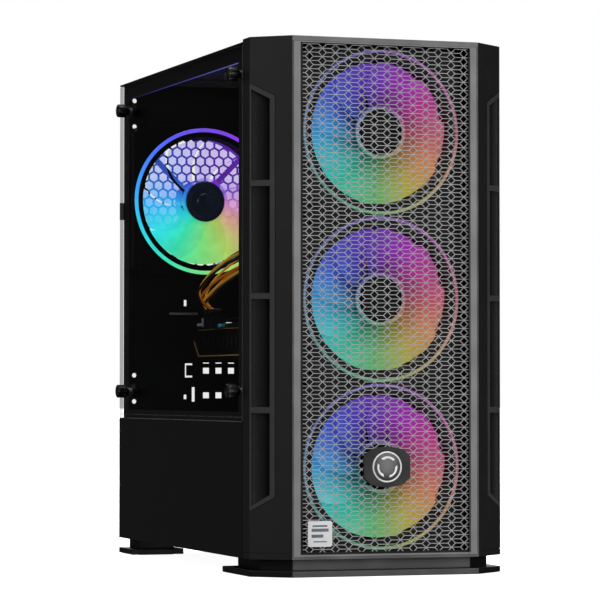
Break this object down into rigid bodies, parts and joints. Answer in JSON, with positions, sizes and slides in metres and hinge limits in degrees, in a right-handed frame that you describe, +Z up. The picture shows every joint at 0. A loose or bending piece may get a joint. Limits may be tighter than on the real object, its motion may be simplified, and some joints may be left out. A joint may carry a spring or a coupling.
{
  "type": "desktop computer tower",
  "caption": "Compact desktop computer tower with a chamfered mesh front, glass side, lit fans, removable panels and full internals.",
  "frame": {"origin": "on the floor, below the middle of the whole object with its screw heads", "axes": "+Z up, the mesh front faces -Y, the glass side faces -X"},
  "size_m": [0.2014, 0.3756, 0.3844],
  "materials": {
    "steel_black": "fine-textured black powder coat",
    "steel_grey": "satin dark grey paint",
    "bezel_plastic": "fine-grained moulded black plastic",
    "frame_plastic": "fine-grained moulded plastic, a little lighter",
    "foot_plastic": "moulded black plastic",
    "rubber_pad": "black rubber",
    "screw_steel": "nickel-plated pressed steel",
    "brass": "turned brass",
    "pcb": "black solder mask",
    "socket_plastic": "black connector plastic",
    "dark_aluminium": "anodised dark grey",
    "bare_aluminium": "milled aluminium",
    "fan_plastic": "black moulded plastic",
    "clear_blades": "frosted clear plastic lit from the hub",
    "cable_yellow": "bundle of insulated wires",
    "psu_paint": "black textured paint",
    "drive_metal": "cast and brushed drive body",
    "mesh_steel": "grey painted perforated sheet",
    "badge_plastic": "dark grey moulded badge",
    "side_glass": "clear tempered glass",
    "screw_black": "black knurled screw",
    "filter_mesh": "black filter frame",
    "button_plastic": "metallised plastic"
  },
  "bodies": {
    "chassis": {"base_pan": "steel_black", "rear_panel": "steel_black", "top_frame": "steel_black", "front_plate": "steel_black", "motherboard_tray": "steel_black", "psu_shroud": "steel_black", "left_lower_panel": "steel_black", "side_frame": "steel_grey", "drive_cage": "steel_grey", "slot_covers": "steel_grey", "front_foot": "foot_plastic", "rear_feet": "foot_plastic", "foot_pads": "rubber_pad", "chassis_screws": "screw_steel", "gpu_bracket": "screw_steel", "io_shield": "screw_steel", "io_ports": "screw_steel", "board_standoffs": "brass", "motherboard": "pcb", "gpu_board": "pcb", "board_sockets": "socket_plastic", "psu_inlet": "socket_plastic", "io_panel": "socket_plastic", "ssd": "socket_plastic", "board_heatsinks": "dark_aluminium", "ram_modules": "dark_aluminium", "cpu_heatsink": "bare_aluminium", "gpu_heatsink": "bare_aluminium", "fan_frames": "fan_plastic", "cpu_fan_frame": "fan_plastic", "gpu_shroud": "fan_plastic", "gpu_cable": "cable_yellow", "psu_case": "psu_paint", "hard_drive": "drive_metal"},
    "front_bezel": {"bezel_shell": "bezel_plastic", "mesh_frame": "frame_plastic", "vent_inserts": "bezel_plastic", "mesh_grille": "mesh_steel", "badge": "badge_plastic"},
    "glass_side": {"glass_panel": "side_glass"},
    "thumbscrew_1": {"thumbscrew_1": "screw_black"},
    "thumbscrew_2": {"thumbscrew_2": "screw_black"},
    "thumbscrew_3": {"thumbscrew_3": "screw_black"},
    "thumbscrew_4": {"thumbscrew_4": "screw_black"},
    "right_panel": {"right_side_panel": "steel_black"},
    "panel_screw_1": {"panel_screw_1": "screw_black"},
    "panel_screw_2": {"panel_screw_2": "screw_black"},
    "top_filter": {"top_filter": "filter_mesh"},
    "psu_filter": {"psu_filter": "filter_mesh"},
    "power_button": {"power_button": "button_plastic"},
    "reset_button": {"reset_button": "button_plastic"},
    "front_fan_1": {"front_rotor_1": "clear_blades"},
    "front_fan_2": {"front_rotor_2": "clear_blades"},
    "front_fan_3": {"front_rotor_3": "clear_blades"},
    "rear_fan": {"rear_rotor": "clear_blades"},
    "cpu_fan": {"cpu_rotor": "fan_plastic"},
    "gpu_fan_1": {"gpu_rotor_1": "fan_plastic"},
    "gpu_fan_2": {"gpu_rotor_2": "fan_plastic"},
    "psu_fan": {"psu_rotor": "fan_plastic"},
    "psu_switch": {"psu_switch": "socket_plastic"}
  },
  "joints": [
    {"name": "bezel_pull", "type": "slide", "parent": "chassis", "child": "front_bezel", "axis": [0, -1, 0], "range_m": [0, 0.06]},
    {"name": "glass_pull", "type": "slide", "parent": "chassis", "child": "glass_side", "axis": [-1, 0, 0], "range_m": [0, 0.03]},
    {"name": "thumbscrew_1_turn", "type": "hinge", "parent": "glass_side", "child": "thumbscrew_1", "pos_m": [-0.09125, -0.1428, 0.36], "axis": [1, 0, 0], "continuous": true},
    {"name": "thumbscrew_2_turn", "type": "hinge", "parent": "glass_side", "child": "thumbscrew_2", "pos_m": [-0.09125, -0.1428, 0.132], "axis": [1, 0, 0], "continuous": true},
    {"name": "thumbscrew_3_turn", "type": "hinge", "parent": "glass_side", "child": "thumbscrew_3", "pos_m": [-0.09125, 0.1532, 0.359], "axis": [1, 0, 0], "continuous": true},
    {"name": "thumbscrew_4_turn", "type": "hinge", "parent": "glass_side", "child": "thumbscrew_4", "pos_m": [-0.09125, 0.1532, 0.132], "axis": [1, 0, 0], "continuous": true},
    {"name": "right_panel_slide", "type": "slide", "parent": "chassis", "child": "right_panel", "axis": [0, 1, 0], "range_m": [0, 0.02]},
    {"name": "panel_screw_1_turn", "type": "hinge", "parent": "right_panel", "child": "panel_screw_1", "pos_m": [0.09475, 0.1802, 0.35], "axis": [0, 1, 0], "continuous": true},
    {"name": "panel_screw_2_turn", "type": "hinge", "parent": "right_panel", "child": "panel_screw_2", "pos_m": [0.09475, 0.1802, 0.06], "axis": [0, 1, 0], "continuous": true},
    {"name": "top_filter_lift", "type": "slide", "parent": "chassis", "child": "top_filter", "axis": [0, 0, 1], "range_m": [0, 0.03]},
    {"name": "psu_filter_slide", "type": "slide", "parent": "chassis", "child": "psu_filter", "axis": [0, 1, 0], "range_m": [0, 0.16]},
    {"name": "power_button_press", "type": "slide", "parent": "chassis", "child": "power_button", "axis": [0, 0, -1], "range_m": [0, 0.0015], "stiffness_N_per_m": 300},
    {"name": "reset_button_press", "type": "slide", "parent": "chassis", "child": "reset_button", "axis": [0, 0, -1], "range_m": [0, 0.0015], "stiffness_N_per_m": 200},
    {"name": "front_fan_1_spin", "type": "hinge", "parent": "chassis", "child": "front_fan_1", "pos_m": [0.00475, -0.176, 0.078], "axis": [0, 1, 0], "continuous": true},
    {"name": "front_fan_2_spin", "type": "hinge", "parent": "chassis", "child": "front_fan_2", "pos_m": [0.00475, -0.176, 0.198], "axis": [0, 1, 0], "continuous": true},
    {"name": "front_fan_3_spin", "type": "hinge", "parent": "chassis", "child": "front_fan_3", "pos_m": [0.00475, -0.176, 0.318], "axis": [0, 1, 0], "continuous": true},
    {"name": "rear_fan_spin", "type": "hinge", "parent": "chassis", "child": "rear_fan", "pos_m": [-0.02625, 0.154, 0.287], "axis": [0, 1, 0], "continuous": true},
    {"name": "cpu_fan_spin", "type": "hinge", "parent": "chassis", "child": "cpu_fan", "pos_m": [0.03475, 0.0912, 0.29], "axis": [1, 0, 0], "continuous": true},
    {"name": "gpu_fan_1_spin", "type": "hinge", "parent": "chassis", "child": "gpu_fan_1", "pos_m": [0.01625, 0.0002, 0.165], "axis": [0, 0, 1], "continuous": true},
    {"name": "gpu_fan_2_spin", "type": "hinge", "parent": "chassis", "child": "gpu_fan_2", "pos_m": [0.01625, 0.1082, 0.165], "axis": [0, 0, 1], "continuous": true},
    {"name": "psu_fan_spin", "type": "hinge", "parent": "chassis", "child": "psu_fan", "pos_m": [0.00475, 0.1086, 0.028], "axis": [0, 0, 1], "continuous": true},
    {"name": "psu_switch_rock", "type": "hinge", "parent": "chassis", "child": "psu_switch", "pos_m": [-0.00925, 0.1792, 0.061], "axis": [1, 0, 0], "range_deg": [0, 8]}
  ]
}
